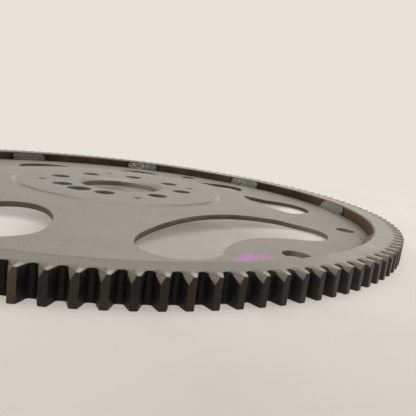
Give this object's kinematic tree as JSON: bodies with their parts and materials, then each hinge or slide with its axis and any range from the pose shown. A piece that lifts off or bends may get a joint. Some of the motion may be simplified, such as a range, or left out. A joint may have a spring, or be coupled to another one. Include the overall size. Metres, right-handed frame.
{
  "type": "flexplate",
  "caption": "Shallow dished steel drive plate with a pierced hub, round and bean-shaped openings, and a toothed starter ring welded round its rim",
  "frame": {"origin": "on the axis, at the ring gear's lower face, which the part lies on", "axes": "+Z along the axis, up to the side with the raised hub; -Y is the side nearest the picture's camera, and +X is to its right"},
  "size_m": [0.3471, 0.3472, 0.0105],
  "materials": {
    "plate_steel": "worn cold-rolled sheet, dull, with faint stains",
    "ring_steel": "hardened teeth, dull, browned on the walls",
    "weld_steel": "as-welded bead, rough and silvery"
  },
  "bodies": {
    "root": {"pressed_plate": "plate_steel", "ring_gear": "ring_steel", "weld_1": "weld_steel", "weld_2": "weld_steel", "weld_3": "weld_steel", "weld_4": "weld_steel", "weld_5": "weld_steel", "weld_6": "weld_steel", "weld_7": "weld_steel", "weld_8": "weld_steel", "weld_9": "weld_steel"}
  },
  "joints": []
}
